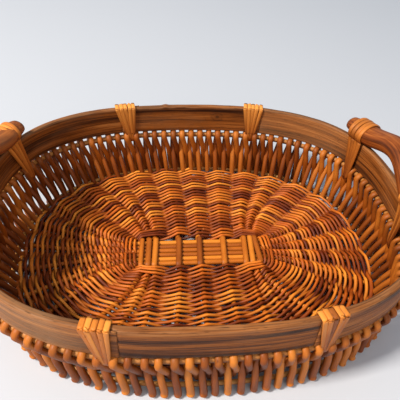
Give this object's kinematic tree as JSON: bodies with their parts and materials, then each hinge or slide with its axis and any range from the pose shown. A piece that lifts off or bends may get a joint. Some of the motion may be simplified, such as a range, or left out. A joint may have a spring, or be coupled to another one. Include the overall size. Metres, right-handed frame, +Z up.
{
  "type": "oval willow tray basket",
  "caption": "Open oval willow basket: pierced woven base, hairpin stakes over hoops, bent-board rim and two lashed wooden arch handles, for carrying and for tossing grain",
  "frame": {"origin": "on the ground under the middle of the rim", "axes": "+X along the length from the left handle to the right one, +Y across the width to the back, +Z up"},
  "size_m": [0.5995, 0.4478, 0.1759],
  "materials": {
    "willow_stake": "satin",
    "willow_weave": "satin",
    "willow_stick": "satin",
    "willow_lashing": "satin",
    "hoop_rod": "satin",
    "rim_board": "matte",
    "handle_wood": "satin"
  },
  "bodies": {
    "root": {"base_cross_stick_1": "willow_stick", "base_cross_stick_2": "willow_stick", "base_cross_stick_3": "willow_stick", "base_cross_stick_4": "willow_stick", "base_cross_stick_5": "willow_stick", "base_cross_stick_6": "willow_stick", "base_cross_stick_7": "willow_stick", "base_cross_stick_8": "willow_stick", "base_cross_stick_9": "willow_stick", "base_long_stick_1": "willow_stick", "base_long_stick_2": "willow_stick", "base_long_stick_3": "willow_stick", "base_long_stick_4": "willow_stick", "base_long_stick_5": "willow_stick", "base_long_stick_6": "willow_stick", "base_weave_inner": "willow_weave", "base_weave_outer": "willow_weave", "board_lashing_back_left": "willow_lashing", "board_lashing_back_right": "willow_lashing", "board_lashing_front_left": "willow_lashing", "board_lashing_front_right": "willow_lashing", "foot_hoop": "hoop_rod", "handle_lashing_left_back": "willow_lashing", "handle_lashing_left_front": "willow_lashing", "handle_lashing_right_back": "willow_lashing", "handle_lashing_right_front": "willow_lashing", "handle_left": "handle_wood", "handle_right": "handle_wood", "rim_board_back": "rim_board", "rim_board_front": "rim_board", "rim_board_left_end": "rim_board", "rim_board_right_end": "rim_board", "top_hoop": "hoop_rod", "wall_stakes_01": "willow_stake", "wall_stakes_02": "willow_stake", "wall_stakes_03": "willow_stake", "wall_stakes_04": "willow_stake", "wall_stakes_05": "willow_stake", "wall_stakes_06": "willow_stake", "wall_stakes_07": "willow_stake", "wall_stakes_08": "willow_stake", "wall_stakes_09": "willow_stake", "wall_stakes_10": "willow_stake", "wall_stakes_11": "willow_stake", "wall_stakes_12": "willow_stake", "wall_stakes_13": "willow_stake", "wall_stakes_14": "willow_stake", "wall_stakes_15": "willow_stake", "wall_stakes_16": "willow_stake", "wall_stakes_17": "willow_stake", "wall_stakes_18": "willow_stake", "wall_stakes_19": "willow_stake", "wall_stakes_20": "willow_stake", "wall_stakes_21": "willow_stake", "wall_stakes_22": "willow_stake", "wall_stakes_23": "willow_stake", "wall_stakes_24": "willow_stake", "wall_stakes_25": "willow_stake", "wall_stakes_26": "willow_stake"}
  },
  "joints": []
}
